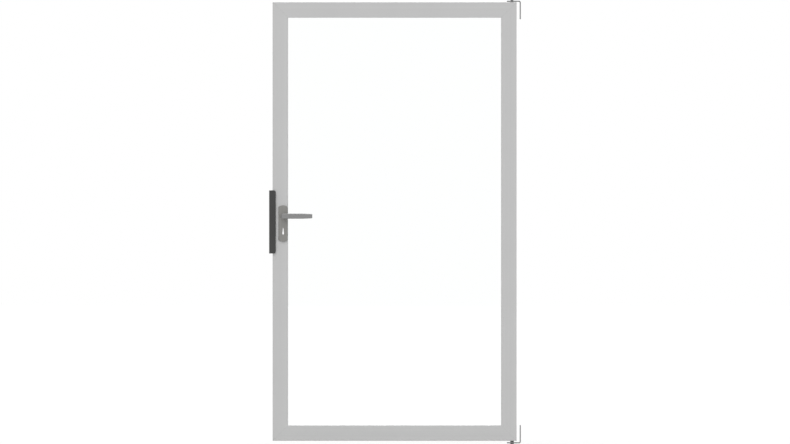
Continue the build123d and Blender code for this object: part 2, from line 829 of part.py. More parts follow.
with BuildPart() as handle_screws:
    with Locations(handle_screw_heads):
        with Locations(*screw_offsets):
            add(countersunk_screw(screw_head_radius, handle_screw_radius, handle_screw_length))
finish(handle_screws.part, "handle_screws")

# Levers: a neck out of the plate, a bend, and a flat grip that thins towards its tip.
neck_radius = 8
neck_gap = 0.3
plate_face = back + plate_thickness
grip_front = plate_face + lever_projection
grip_back = grip_front - lever_thickness
neck_foot = plate_face + ring_proud + neck_gap
spindle_end = grip_back - 6
neck_overlap = 1
outside_bend = 14
inside_bend = 8
taper_start = spindle_x + 93


def lever_front(side):
    """The lever's outline seen from the front, through its whole depth, bevelled round the grip's face."""
    tip_x = spindle_x + lever_length
    half = lever_height / 2
    tip_half = lever_tip_height / 2
    with BuildPart() as block:
        with BuildSketch(Plane.XZ.offset(-side * neck_foot)) as outline:
            with BuildLine():
                Line((taper_start, spindle_z + half), (spindle_x, spindle_z + half))
                ThreePointArc(
                    (spindle_x, spindle_z + half),
                    (spindle_x - half, spindle_z),
                    (spindle_x, spindle_z - half),
                )
                Polyline(
                    (spindle_x, spindle_z - half),
                    (taper_start, spindle_z - half),
                    (tip_x, spindle_z - tip_half),
                    (tip_x, spindle_z + tip_half),
                    (taper_start, spindle_z + half),
                )
            make_face()
            fillet(outline.vertices().group_by(Axis.X)[-1], lever_corner)
        extrude(amount=-side * (grip_front - lever_bevel - neck_foot))
        extrude(block.faces().sort_by(Axis.Y)[-max(side, 0)], amount=lever_bevel, taper=45)
    return block.part


def lever(side):
    """side is -1 on the closing side and 1 on the opening side."""
    tip_x = spindle_x + lever_length
    neck_half = neck_width / 2
    with BuildPart() as handle:
        with BuildSketch(Plane.XY.offset(spindle_z - lever_height / 2)) as plan:
            with BuildLine():
                Polyline(
                    (spindle_x - neck_half, side * neck_foot),
                    (spindle_x - neck_half, side * grip_front),
                    (tip_x, side * grip_front),
                    (tip_x, side * grip_back),
                    (spindle_x + neck_half, side * grip_back),
                    (spindle_x + neck_half, side * neck_foot),
                    close=True,
                )
            make_face()
            outside_corner = (spindle_x - neck_half, side * grip_front)
            fillet(plan.vertices().sort_by_distance(outside_corner)[0], outside_bend)
            inside_corner = (spindle_x + neck_half, side * grip_back)
            fillet(plan.vertices().sort_by_distance(inside_corner)[0], inside_bend)
        extrude(amount=lever_height)
        add(lever_front(side), mode=Mode.INTERSECT)
        with BuildSketch(Plane.XZ.offset(-side * (neck_foot - plate_thickness + neck_overlap))):
            with Locations(spindle_place):
                Circle(neck_radius)
        extrude(amount=-side * (plate_thickness - neck_overlap))
        with BuildSketch(Plane.XZ.offset(-side * (neck_foot - plate_thickness))):
            with Locations(spindle_place):
                Rectangle(spindle_side, spindle_side)
        extrude(amount=-side * (spindle_end - neck_foot + plate_thickness), mode=Mode.SUBTRACT)
    return handle.part


finish(lever(-1), "outer_lever")
finish(lever(1), "inner_lever")

with BuildPart() as spindle:
    with BuildSketch(Plane.XZ):
        with Locations(spindle_place):
            Rectangle(spindle_side, spindle_side)
    extrude(amount=spindle_end, both=True)
finish(spindle.part, "spindle")

# Each lever's neck turns in an eight-sided plastic ring that cannot turn in its plate.
with BuildPart() as lever_rings:
    for side in (-1, 1):
        with BuildSketch(Plane.XZ.offset(-side * back)):
            with Locations(spindle_place):
                RegularPolygon(ring_half_width, 8, major_radius=False, rotation=22.5)
                Circle(neck_radius + running_clearance, mode=Mode.SUBTRACT)
        extrude(amount=-side * (plate_thickness + ring_proud))
finish(lever_rings.part, "lever_rings")
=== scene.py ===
# %% [markdown]
# A framed glass door, dressed for the camera
#
# The door is one large clear pane in four mitred lengths of aluminium profile. It hangs on two steel
# pivot brackets, and a lever-handle lock closes into a dark keep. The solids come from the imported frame
# with their real sizes. This lesson gives each of them its finish, remakes the few pieces whose edges or
# threads show from close by, and sets up the light and the camera.

# %% Load the fixed frame
import json
import math

import bmesh
import bpy
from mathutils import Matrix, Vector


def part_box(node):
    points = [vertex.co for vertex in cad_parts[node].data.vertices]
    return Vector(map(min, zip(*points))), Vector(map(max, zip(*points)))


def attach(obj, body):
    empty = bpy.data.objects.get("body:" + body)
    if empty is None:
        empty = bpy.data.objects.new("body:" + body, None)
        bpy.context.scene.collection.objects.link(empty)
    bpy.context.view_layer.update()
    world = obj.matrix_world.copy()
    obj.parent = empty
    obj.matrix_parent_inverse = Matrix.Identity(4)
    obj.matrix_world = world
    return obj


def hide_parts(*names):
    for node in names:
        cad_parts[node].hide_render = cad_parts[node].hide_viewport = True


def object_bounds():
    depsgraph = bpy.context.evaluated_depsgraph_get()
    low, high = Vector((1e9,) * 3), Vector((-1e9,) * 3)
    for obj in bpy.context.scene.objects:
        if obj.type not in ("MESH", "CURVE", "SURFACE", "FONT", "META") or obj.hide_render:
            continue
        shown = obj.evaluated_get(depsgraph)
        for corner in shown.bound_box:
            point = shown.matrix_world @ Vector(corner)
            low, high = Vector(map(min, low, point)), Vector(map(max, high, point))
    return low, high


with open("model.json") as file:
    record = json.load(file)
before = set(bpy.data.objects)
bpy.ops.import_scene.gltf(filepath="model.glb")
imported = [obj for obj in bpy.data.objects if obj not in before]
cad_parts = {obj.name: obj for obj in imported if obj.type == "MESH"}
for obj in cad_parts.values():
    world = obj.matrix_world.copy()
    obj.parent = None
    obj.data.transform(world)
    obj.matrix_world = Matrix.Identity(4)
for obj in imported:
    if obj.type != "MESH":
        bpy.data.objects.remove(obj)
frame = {"nodes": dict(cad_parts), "record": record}
cad_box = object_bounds()
nodes = frame["nodes"]

# %% [markdown]
# Where things are
#
# Every later step needs a few places: the leaf's outline for the mitres, the pivot's axis for the pins,
# and the spindle's axis for the levers. They are read off the solids' own boxes, so they follow the frame
# when a size changes. Lengths are in metres, and one millimetre gets a name because small parts are
# thought of in it.

# %% Read the main places off the frame
MM = 0.001


def middle(low, high):
    """The place halfway between two corners, or the level halfway between two levels."""
    return (low + high) / 2


leaf_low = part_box("lock_stile")[0]
leaf_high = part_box("hinge_stile")[1]
leaf_middle = middle(leaf_low, leaf_high)
leaf_size = leaf_high - leaf_low
pivot = middle(*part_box("bottom_pin_nut"))
spindle = middle(*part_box("spindle"))
print("leaf", [round(v, 4) for v in leaf_size], "pivot x", round(pivot.x, 4), "spindle", spindle)

# %% [markdown]
# Small helpers for modelling
#
# An operator acts on everything that is selected, and the frame arrives selected. So each step first
# makes one object the only selected one. At the end each new piece gets its place put into its mesh, so
# that its object sits at the origin like the solids around it.

# %% Selecting, naming and placing
def select_only(obj):
    """Makes obj the only selected object and the active one."""
    bpy.ops.object.select_all(action="DESELECT")
    obj.select_set(True)
    bpy.context.view_layer.objects.active = obj


def name_new(name):
    """Names the object that an operator has just added, and its mesh."""
    obj = bpy.context.active_object
    obj.name = name
    obj.data.name = name
    return obj


def place_into_mesh(obj):
    """Puts the object's place, turn and scale into its mesh."""
    select_only(obj)
    bpy.ops.object.transform_apply(location=True, rotation=True, scale=True)


print("selecting, naming and placing ready")

# %% [markdown]
# Upright rods
#
# Pins, screws, bores and drills are all upright here, so every new piece starts as an upright cylinder.
# A turned end has a bevelled rim. The edges of the two rims are picked in edit mode by being level, which
# is what a hand with a mouse would do.

# %% Make an upright rod
WELD = 1e-6


def bevel_rims(rod, width, segments):
    """Bevels the level edges of an upright rod, which are its two rims."""
    bpy.ops.object.mode_set(mode="EDIT")
    bpy.ops.mesh.select_mode(type="EDGE")
    bpy.ops.mesh.select_all(action="DESELECT")
    mesh = bmesh.from_edit_mesh(rod.data)
    rims = [edge for edge in mesh.edges if abs(edge.verts[0].co.z - edge.verts[1].co.z) < WELD]
    for edge in rims:
        edge.select_set(True)
    bmesh.update_edit_mesh(rod.data)
    bpy.ops.mesh.bevel(offset=width, segments=segments, affect="EDGES")
    bpy.ops.object.mode_set(mode="OBJECT")


def upright_rod(name, at, low, high, radius, sides, rim=0.0, rim_segments=1):
    """An upright rod at (x, y) between two levels. Six sides make a hexagon, and rim bevels both ends."""
    bpy.ops.object.select_all(action="DESELECT")
    bpy.ops.mesh.primitive_cylinder_add(
        vertices=sides, radius=radius, depth=high - low, location=(*at, middle(low, high))
    )
    rod = name_new(name)
    if rim:
        bevel_rims(rod, rim, rim_segments)
    place_into_mesh(rod)
    return rod


print("level within", WELD, "m")

# %% [markdown]
# Joining, cutting and shading
#
# A turned or drilled piece is made as it is in a workshop: one closed mesh is joined to another or cut by
# it. The seam is welded afterwards, because a boolean can leave points there that only seem to be one.
# Shading by angle keeps the corners crisp, and weighted normals keep the large faces flat beside a bevel.

# %% Join or cut two meshes, and shade a piece
def cut_with(piece, tool, operation):
    """Joins, cuts or keeps the common part of two closed meshes, welds the seam and removes the tool."""
    select_only(piece)
    step = piece.modifiers.new("cut", "BOOLEAN")
    step.operation = operation
    step.solver = "EXACT"
    step.object = tool
    bpy.ops.object.modifier_apply(modifier=step.name)
    bpy.data.objects.remove(tool)
    bpy.ops.object.mode_set(mode="EDIT")
    bpy.ops.mesh.select_all(action="SELECT")
    bpy.ops.mesh.remove_doubles(threshold=WELD)
    bpy.ops.mesh.dissolve_degenerate(threshold=WELD)
    bpy.ops.object.mode_set(mode="OBJECT")


def smooth_by_angle(piece, degrees):
    """Shades the piece smooth across edges that turn less than an angle, and keeps its large faces flat."""
    select_only(piece)
    bpy.ops.mesh.customdata_custom_splitnormals_clear()
    bpy.ops.object.shade_smooth_by_angle(angle=math.radians(degrees))
    even = piece.modifiers.new("even", "WEIGHTED_NORMAL")
    even.keep_sharp = True
    bpy.ops.object.modifier_apply(modifier=even.name)


print("joining, cutting and shading ready")

# %% [markdown]
# Eased copies of the solids
#
# A cast plate or a bent bracket has no knife edges: the last tool takes a few tenths of a millimetre off
# them, and that is where light catches. Drawn profile is the same, along its length and where a saw has
# cut it. The solids have the right shape but sharp edges. So a copy is welded, its flat faces are
# dissolved back into single faces, and a Bevel modifier eases the edges that turn sharply. The copy then
# stands for the solid. This keeps the true form, where remodelling it by hand could only lose some. The
# keep's back is so pocketed that its faces would be left with folds if they were dissolved, so it is
# bevelled as it is.

# %% Make an eased copy
SHARP = 32
PROFILE_EASE = 0.15 * MM


def eased_copy(node, width, flat=1.0):
    """A copy of a solid with its sharp edges eased. Faces that turn less than flat degrees become one."""
    piece = nodes[node].copy()
    piece.data = nodes[node].data.copy()
    piece.name = piece.data.name = f"{node}_eased"
    bpy.context.scene.collection.objects.link(piece)
    piece.data.materials.clear()
    select_only(piece)
    bpy.ops.object.mode_set(mode="EDIT")
    bpy.ops.mesh.select_all(action="SELECT")
    bpy.ops.mesh.remove_doubles(threshold=WELD)
    bpy.ops.mesh.dissolve_limited(angle_limit=math.radians(flat))
    bpy.ops.object.mode_set(mode="OBJECT")
    ease = piece.modifiers.new("ease", "BEVEL")
    ease.width = width
    ease.segments = 2
    ease.limit_method = "ANGLE"
    ease.angle_limit = math.radians(SHARP)
    ease.use_clamp_overlap = False
    bpy.ops.object.modifier_apply(modifier=ease.name)
    smooth_by_angle(piece, SHARP)
    return piece


eased_widths = {
    "outer_handle_plate": 0.4 * MM,
    "inner_handle_plate": 0.4 * MM,
    "outer_lever": 0.6 * MM,
    "inner_lever": 0.6 * MM,
    "top_bracket": 0.4 * MM,
    "bottom_bracket": 0.4 * MM,
    "lock_faceplate": 0.2 * MM,
    "strike_plate": 0.2 * MM,
}
for node in ("lock_stile", "hinge_stile", "top_rail", "bottom_rail"):
    eased_widths[node] = PROFILE_EASE
for side in ("top", "bottom", "lock", "hinge"):
    eased_widths[f"glazing_bead_{side}"] = PROFILE_EASE
eased = {node: eased_copy(node, width) for node, width in eased_widths.items()}
eased["keep_body"] = eased_copy("keep_body", 0.5 * MM, flat=0.0)
for node, piece in eased.items():
    print(node, len(piece.data.polygons), "faces")

# %% [markdown]
# Hexagons with turned corners
#
# A nut or a bolt head starts as hexagon bar, and a lathe then turns its six corners back to a shallow
# cone. That is easiest to copy as it happens: a six-sided cylinder is one mesh, a round blank with
# bevelled rims is another, and the common part of the two is the hexagon with its arched corner lines.

# %% Make a hexagon
ACROSS_FLATS = 17 * MM
CORNER_RADIUS = ACROSS_FLATS / 2 / math.cos(math.radians(30))
BLANK_RADIUS = CORNER_RADIUS + 0.2 * MM
CORNER_TURN = 1.3 * MM
ROUND_SIDES = 48
on_pivot = (pivot.x, pivot.y)


def hexagon(name, low, high):
    """A six-sided block on the pivot axis between two levels, with its corners turned back."""
    block = upright_rod(name, on_pivot, low, high, CORNER_RADIUS, 6)
    blank = upright_rod(f"{name}_blank", on_pivot, low, high, BLANK_RADIUS, ROUND_SIDES, rim=CORNER_TURN)
    cut_with(block, blank, "INTERSECT")
    return block


BRACKET_PLATE = 5 * MM
BUSH_PROUD = 1.3 * MM
HEAD_HEIGHT = 5.5 * MM
collar_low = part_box("bottom_bracket")[0].z + BRACKET_PLATE
collar_high = leaf_low.z - BUSH_PROUD
nut_low, nut_high = (corner.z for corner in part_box("bottom_pin_nut"))
pin_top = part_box("top_pivot_pin")[1].z
head_low = pin_top - HEAD_HEIGHT
bottom_collar = hexagon("bottom_pin_collar", collar_low, collar_high)
pin_head = hexagon("top_pin_head", head_low, pin_top)
nut = hexagon("bottom_nut", nut_low, nut_high)
print("collar", round((collar_high - collar_low) / MM, 2), "mm high")

# %% [markdown]
# Threads
#
# A thread is a tooth that climbs by its pitch in each turn, and the Screw modifier makes just that from
# one tooth's outline. Three points are enough for the outline: root, crest, root. The pitch is that of a
# coarse ten-millimetre thread. The spiral is made a little too long and then cut flat at both ends, so
# the start of the tooth runs out in the face as it does on a real pin.

# %% Make a length of thread
PIN_RADIUS = 5 * MM
PITCH = 1.5 * MM
THREAD_DEPTH = 0.75 * MM
THREAD_STEPS = 32
SPARE_TURNS = 3


def thread(name, low, high):
    """A closed length of threaded rod on the pivot axis between two levels."""
    bpy.ops.object.select_all(action="DESELECT")
    bpy.ops.mesh.primitive_plane_add(size=PITCH, location=(*on_pivot, low - 2 * PITCH))
    rod = name_new(name)
    bpy.ops.object.mode_set(mode="EDIT")
    mesh = bmesh.from_edit_mesh(rod.data)
    mesh.verts.ensure_lookup_table()
    bmesh.ops.delete(mesh, geom=[mesh.verts[3]], context="VERTS")
    first_root, second_root, crest = sorted(mesh.verts, key=lambda vert: len(vert.link_edges))
    first_root.co = (PIN_RADIUS - THREAD_DEPTH, 0, 0)
    crest.co = (PIN_RADIUS, 0, PITCH / 2)
    second_root.co = (PIN_RADIUS - THREAD_DEPTH, 0, PITCH)
    bmesh.update_edit_mesh(rod.data)
    bpy.ops.object.mode_set(mode="OBJECT")
    spiral = rod.modifiers.new("spiral", "SCREW")
    spiral.axis = "Z"
    spiral.screw_offset = PITCH
    spiral.iterations = math.ceil((high - low) / PITCH) + SPARE_TURNS
    spiral.steps = spiral.render_steps = THREAD_STEPS
    spiral.use_merge_vertices = True
    spiral.merge_threshold = WELD
    bpy.ops.object.modifier_apply(modifier=spiral.name)
    place_into_mesh(rod)
    bpy.ops.object.mode_set(mode="EDIT")
    for level, normal in ((low, (0, 0, -1)), (high, (0, 0, 1))):
        bpy.ops.mesh.select_all(action="SELECT")
        bpy.ops.mesh.bisect(
            plane_co=(*on_pivot, level), plane_no=normal, threshold=WELD, use_fill=True, clear_outer=True
        )
    bpy.ops.mesh.select_all(action="SELECT")
    bpy.ops.mesh.remove_doubles(threshold=WELD)
    bpy.ops.mesh.normals_make_consistent(inside=False)
    bpy.ops.object.mode_set(mode="OBJECT")
    return rod


print("thread of pitch", PITCH / MM, "mm")

# %% [markdown]
# The turned pins and their nut
#
# A pivot pin has a plain shank that the bush turns on, a thread that holds it in its bracket, and a
# hexagon for the spanner: a collar on the bottom pin, a head on the top one. The three are closed meshes
# that are joined. Shank and thread run a millimetre into each other inside the bracket, where the seam
# doesn't show. The nut is bored to the width of the pin.

# %% Turn the pins and bore the nut
PIN_CHAMFER = 0.8 * MM


def shank(name, low, high):
    """A plain round length of pin on the pivot axis, with both rims chamfered."""
    return upright_rod(name, on_pivot, low, high, PIN_RADIUS, ROUND_SIDES, rim=PIN_CHAMFER)


SEAM_LOW = 4 * MM
SEAM_HIGH = 3 * MM
INTO_HEAD = 0.5 * MM
BORE_PAST = 5 * MM
bottom_pin_low, bottom_pin_high = (corner.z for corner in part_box("bottom_pivot_pin"))
top_pin_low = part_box("top_pivot_pin")[0].z
bracket_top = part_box("top_bracket")[1].z

bottom_pin = shank("bottom_pin_turned", collar_low - SEAM_LOW, bottom_pin_high)
cut_with(bottom_pin, bottom_collar, "UNION")
cut_with(bottom_pin, thread("bottom_thread", bottom_pin_low, collar_low - SEAM_HIGH), "UNION")

top_pin = shank("top_pin_turned", top_pin_low, bracket_top - SEAM_HIGH)
cut_with(top_pin, thread("top_thread", bracket_top - SEAM_LOW, head_low + INTO_HEAD), "UNION")
cut_with(top_pin, pin_head, "UNION")

bore = upright_rod("nut_bore", on_pivot, nut_low - BORE_PAST, nut_high + BORE_PAST, PIN_RADIUS, ROUND_SIDES)
cut_with(nut, bore, "DIFFERENCE")
for piece in (bottom_pin, top_pin, nut):
    smooth_by_angle(piece, SHARP)
    print(piece.name, len(piece.data.polygons), "faces")

# %% [markdown]
# Grub screws under the levers
#
# Each lever is held on its square spindle by a small headless screw, reached from below. It is a short
# rod with a hexagon socket. The rod and the socket's cutter are both primitives, and the hole in the
# lever is one more cut. The screw sits a little inside its hole, as it does once it is tight.

# %% Drill the levers and set their grub screws
GRUB_RADIUS = 2.5 * MM
GRUB_LENGTH = 7 * MM
GRUB_RIM = 0.25 * MM
GRUB_SIDES = 32
HOLE_RADIUS = GRUB_RADIUS + 0.05 * MM
DRILL_LENGTH = 12 * MM
SOCKET_RADIUS = 1.45 * MM
SOCKET_DEPTH = 3 * MM
SOCKET_PAST = 2 * MM
SPINDLE_HALF = 4 * MM
NECK_FROM_PLATE = 15 * MM
neck_depth = abs(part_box("outer_handle_plate")[0].y) + NECK_FROM_PLATE
screw_top = spindle.z - SPINDLE_HALF
screw_end = screw_top - GRUB_LENGTH
grub_screws = []

for node, side in (("outer_lever", -1), ("inner_lever", 1)):
    at = (spindle.x, side * neck_depth)
    drill = upright_rod("drill", at, screw_top - DRILL_LENGTH, screw_top, HOLE_RADIUS, GRUB_SIDES)
    cut_with(eased[node], drill, "DIFFERENCE")
    smooth_by_angle(eased[node], SHARP)
    screw = upright_rod(
        f"{node}_grub_screw", at, screw_end, screw_top, GRUB_RADIUS, GRUB_SIDES,
        rim=GRUB_RIM, rim_segments=2,
    )
    socket = upright_rod("socket", at, screw_end - SOCKET_PAST, screw_end + SOCKET_DEPTH, SOCKET_RADIUS, 6)
    cut_with(screw, socket, "DIFFERENCE")
    smooth_by_angle(screw, SHARP)
    grub_screws.append(screw)
    print(screw.name, len(screw.data.polygons), "faces")

# %% [markdown]
# Tools for building materials
#
# A node tree is easier to read in code when each step is one short call. `put` adds a node with its
# settings, `feed` gives a socket either a number or another node's output, and `calculate` is one Math
# node. With these a material reads almost like a formula.

# %% Node helpers
def put(tree, kind, **settings):
    """Adds a node of a kind to a tree with its settings."""
    node = tree.nodes.new(kind)
    for name, value in settings.items():
        setattr(node, name, value)
    return node


def feed(tree, source, socket):
    """Gives a socket a constant, or links another node's output to it."""
    if isinstance(source, bpy.types.NodeSocket):
        tree.links.new(source, socket)
    else:
        socket.default_value = source


def calculate(tree, operation, *values):
    """One Math node, as the socket that holds its result."""
    node = put(tree, "ShaderNodeMath", operation=operation)
    for value, socket in zip(values, node.inputs):
        feed(tree, value, socket)
    return node.outputs[0]


def calculate_vector(tree, operation, *values):
    """One Vector Math node, as the socket that holds its vector."""
    node = put(tree, "ShaderNodeVectorMath", operation=operation)
    for value, socket in zip(values, node.inputs):
        feed(tree, value, socket)
    return node.outputs[0]


print("node helpers ready")

# %% [markdown]
# Noise, ranges and mixes
#
# Nearly every surface here is noise that has been stretched, spread over a range and used to mix two
# tones. Most of a noise's values lie between 0.3 and 0.7, so `full_range` spreads those from 0 to 1.

# %% Noise, range and mix helpers
def noise(tree, vector, scale, detail):
    """A noise texture's value along a vector."""
    node = put(tree, "ShaderNodeTexNoise", noise_dimensions="3D")
    feed(tree, vector, node.inputs["Vector"])
    feed(tree, scale, node.inputs["Scale"])
    node.inputs["Detail"].default_value = detail
    return node.outputs[0]


def spread(tree, value, low, high, to_low, to_high):
    """Maps a value from one range to another and keeps it inside."""
    node = put(tree, "ShaderNodeMapRange", clamp=True)
    for source, socket in zip((value, low, high, to_low, to_high), node.inputs):
        feed(tree, source, socket)
    return node.outputs[0]


def full_range(tree, noise_value):
    """A noise's value spread from 0 to 1."""
    return spread(tree, noise_value, 0.3, 0.7, 0.0, 1.0)


def mixed(tree, factor, first, second, data_type="RGBA"):
    """A mix of two colours by a factor, or of two numbers where data_type is FLOAT."""
    node = put(tree, "ShaderNodeMix", data_type=data_type)
    feed(tree, factor, node.inputs["Factor"])
    feed(tree, first, node.inputs["A"])
    feed(tree, second, node.inputs["B"])
    return node.outputs["Result"]


print("noise, range and mix helpers ready")

# %% [markdown]
# Groups
#
# An effect that several materials share is built once, as a node group with named sockets. Each material
# then places the group with its own values.

# %% Group helpers
def new_group(name, inputs, outputs):
    """An empty shader node group with named sockets, and its input and output nodes."""
    tree = bpy.data.node_groups.new(name, "ShaderNodeTree")
    for label, kind in inputs.items():
        tree.interface.new_socket(label, in_out="INPUT", socket_type=f"NodeSocket{kind}")
    for label, kind in outputs.items():
        tree.interface.new_socket(label, in_out="OUTPUT", socket_type=f"NodeSocket{kind}")
    return tree, put(tree, "NodeGroupInput").outputs, put(tree, "NodeGroupOutput").inputs


def use_group(tree, group, **values):
    """Places a group in a material with its own values. A space in a socket's name is written as _."""
    node = put(tree, "ShaderNodeGroup", node_tree=group)
    for label, value in values.items():
        feed(tree, value, node.inputs[label.replace("_", " ")])
    return node.outputs


print("group helpers ready")

# %% [markdown]
# Drawn lines
#
# Aluminium profile is pressed through a die, and the die leaves faint lines along the whole length. A
# belt leaves the same kind of line on a handle plate, only shorter. Both are noise that is stretched one
# way: the vector is multiplied by many cells per metre across the lines and few along them. A fine layer
# gives the lines, and a wide layer gives the soft bands that the eye sees first from a step away.

# %% Group: drawn lines
BANDS_PER_LINE = 0.08
drawn_lines, enter, leave = new_group(
    "drawn_lines",
    {"Vector": "Vector", "Cells per metre": "Vector", "Band share": "Float"},
    {"Tone": "Float", "Height": "Float"},
)
cells = calculate_vector(drawn_lines, "MULTIPLY", enter["Vector"], enter["Cells per metre"])
fine_lines = noise(drawn_lines, cells, 1.0, 3.0)
wide_bands = noise(drawn_lines, cells, BANDS_PER_LINE, 1.0)
banded = mixed(drawn_lines, enter["Band share"], fine_lines, wide_bands, data_type="FLOAT")
feed(drawn_lines, full_range(drawn_lines, banded), leave["Tone"])
feed(drawn_lines, fine_lines, leave["Height"])
print(drawn_lines.name, len(drawn_lines.nodes), "nodes")

# %% [markdown]
# Orange peel
#
# Powder paint melts into a skin that is never quite flat, and a casting or a zinc coat has a like
# texture. It is even noise about as coarse as the grains, read as a height. A second, much wider noise is
# the mottle: the slight change of tone across a large painted face.

# %% Group: orange peel
orange_peel, enter, leave = new_group(
    "orange_peel",
    {"Vector": "Vector", "Grains per metre": "Float", "Patches per metre": "Float"},
    {"Mottle": "Float", "Height": "Float"},
)
for output, count, detail in (("Height", "Grains per metre", 2.0), ("Mottle", "Patches per metre", 3.0)):
    texture = noise(orange_peel, enter["Vector"], enter[count], detail)
    feed(orange_peel, full_range(orange_peel, texture), leave[output])
print(orange_peel.name, len(orange_peel.nodes), "nodes")

# %% [markdown]
# The hairline of a mitre
#
# Where two lengths of profile meet at 45 degrees there is a fine dark line, however well they are cut. A
# point is on that line when it is as far in from the side of the leaf as it is from the top or bottom. So
# the mask takes both distances and asks whether they differ by less than the line's width. One group
# serves the frame and the glazing beads, because they are all mitred on the same diagonals.

# %% Group: mitre hairline
mitre_hairline, enter, leave = new_group(
    "mitre_hairline",
    {"Vector": "Vector", "Centre": "Vector", "Half size": "Vector", "Line width": "Float"},
    {"Line": "Float"},
)
offset = calculate_vector(mitre_hairline, "SUBTRACT", enter["Vector"], enter["Centre"])
distance = calculate_vector(mitre_hairline, "ABSOLUTE", offset)
inset = calculate_vector(mitre_hairline, "SUBTRACT", enter["Half size"], distance)
parts = put(mitre_hairline, "ShaderNodeSeparateXYZ")
feed(mitre_hairline, inset, parts.inputs[0])
beyond = calculate(mitre_hairline, "SUBTRACT", parts.outputs["X"], parts.outputs["Z"])
difference = calculate(mitre_hairline, "ABSOLUTE", beyond)
feed(mitre_hairline, spread(mitre_hairline, difference, 0.0, enter["Line width"], 1.0, 0.0), leave["Line"])
print(mitre_hairline.name, len(mitre_hairline.nodes), "nodes")

# %% [markdown]
# Haze from hands and cleaning
#
# Metal that is touched and wiped is not evenly glossy. The change is too slight to see as a colour, but
# it breaks up a highlight. Wide noise, pushed towards its ends, gives soft patches, and each material
# adds a little of it to its roughness.

# %% Group: wiped haze
wiped_haze, enter, leave = new_group(
    "wiped_haze",
    {
        "Vector": "Vector", "Patches per metre": "Float",
        "Clear roughness": "Float", "Hazy roughness": "Float",
    },
    {"Roughness": "Float"},
)
patches = noise(wiped_haze, enter["Vector"], enter["Patches per metre"], 4.0)
haze = spread(wiped_haze, patches, 0.35, 0.65, enter["Clear roughness"], enter["Hazy roughness"])
feed(wiped_haze, haze, leave["Roughness"])
print(wiped_haze.name, len(wiped_haze.nodes), "nodes")

# %% [markdown]
# The base of every material
#
# Each finish starts from a Principled shader and the object's own coordinates. All solids share one
# frame, so a pattern on object coordinates runs on across pieces at its real scale, and it moves with a
# piece that turns. `two_greys` and `haze_over` give a finish its tone and its sheen. `raise_surface` is
# the last step of most finishes: it turns a height into a bent normal.

# %% Start a material
def new_finish(name, metallic=0.0):
    """A new material, with its tree, its Principled shader and the object's coordinates."""
    finish = bpy.data.materials.new(name)
    finish.use_nodes = True
    tree = finish.node_tree
    shader = tree.nodes["Principled BSDF"]
    shader.inputs["Metallic"].default_value = metallic
    place = put(tree, "ShaderNodeTexCoord").outputs["Object"]
    return finish, tree, shader, place


def grey(value, warm=0.0):
    """A grey as a linear colour, a little warmer if asked."""
    return (value * (1 + warm), value * (1 + warm / 2), value * (1 - warm), 1.0)


def two_greys(tree, factor, value, contrast, warm=0.0):
    """A grey that a factor changes around its value, by a contrast that is a share of it."""
    dark = grey(value * (1 - contrast), warm)
    light = grey(value * (1 + contrast), warm)
    return mixed(tree, factor, dark, light)


def haze_over(tree, shader, place, patches, clear, hazy):
    """Gives the shader a roughness that goes between two values in soft patches, counted per metre."""
    haze = use_group(
        tree, wiped_haze,
        Vector=place, Patches_per_metre=patches, Clear_roughness=clear, Hazy_roughness=hazy,
    )
    feed(tree, haze["Roughness"], shader.inputs["Roughness"])


def raise_surface(tree, shader, height, strength, depth):
    """Bends the shader's normal by a height, whose full range stands for a depth in metres."""
    bump = put(tree, "ShaderNodeBump")
    bump.inputs["Strength"].default_value = strength
    bump.inputs["Distance"].default_value = depth
    feed(tree, height, bump.inputs["Height"])
    feed(tree, bump.outputs["Normal"], shader.inputs["Normal"])


print("finish base ready")

# %% [markdown]
# Satin profile
#
# The frame is anodised aluminium, a light neutral grey with a soft sheen. The lines follow each length of
# profile, so upright and level members need lines in different directions and get a finish each. The
# mitre line is mixed in last, over the colour.

# %% Finish: the door profile
PROFILE_GREY = 0.508
ACROSS_LINES = 1400.0
ALONG_LINES = 0.9
MITRE_LINE = 0.35 * MM
MITRE_GREY = 0.12
half_leaf = (leaf_size.x / 2, 0.0, leaf_size.z / 2)


def profile_finish(name, upright):
    """Satin aluminium whose lines run up (upright) or across, with the leaf's mitre lines."""
    finish, tree, shader, place = new_finish(name, metallic=0.5)
    along = ALONG_LINES if upright else ACROSS_LINES
    across = ACROSS_LINES if upright else ALONG_LINES
    cells = (across, ACROSS_LINES, along)
    lines = use_group(tree, drawn_lines, Vector=place, Cells_per_metre=cells, Band_share=0.5)
    base = two_greys(tree, lines["Tone"], PROFILE_GREY, contrast=0.03)
    mitre = use_group(
        tree, mitre_hairline,
        Vector=place, Centre=tuple(leaf_middle), Half_size=half_leaf, Line_width=MITRE_LINE,
    )
    feed(tree, mixed(tree, mitre["Line"], base, grey(MITRE_GREY)), shader.inputs["Base Color"])
    haze_over(tree, shader, place, patches=5.0, clear=0.38, hazy=0.46)
    raise_surface(tree, shader, lines["Height"], strength=0.25, depth=0.02 * MM)
    return finish


profile_upright = profile_finish("profile_upright", True)
profile_level = profile_finish("profile_level", False)
print(profile_upright.name, profile_level.name)

# %% [markdown]
# Brushed and turned metals
#
# The handle set, the lock's visible plates, the pins and the screws are all bare metal that differs in
# tone, in sheen and in the direction of its lines. So one function makes them all, and a small table of
# named finishes says how they differ. Lines run up the long handle plates and along the levers.

# %% Finish: bare metals
UP = (2200.0, 2200.0, 45.0)
ACROSS = (45.0, 2200.0, 2200.0)
ROUND = (900.0, 900.0, 1600.0)


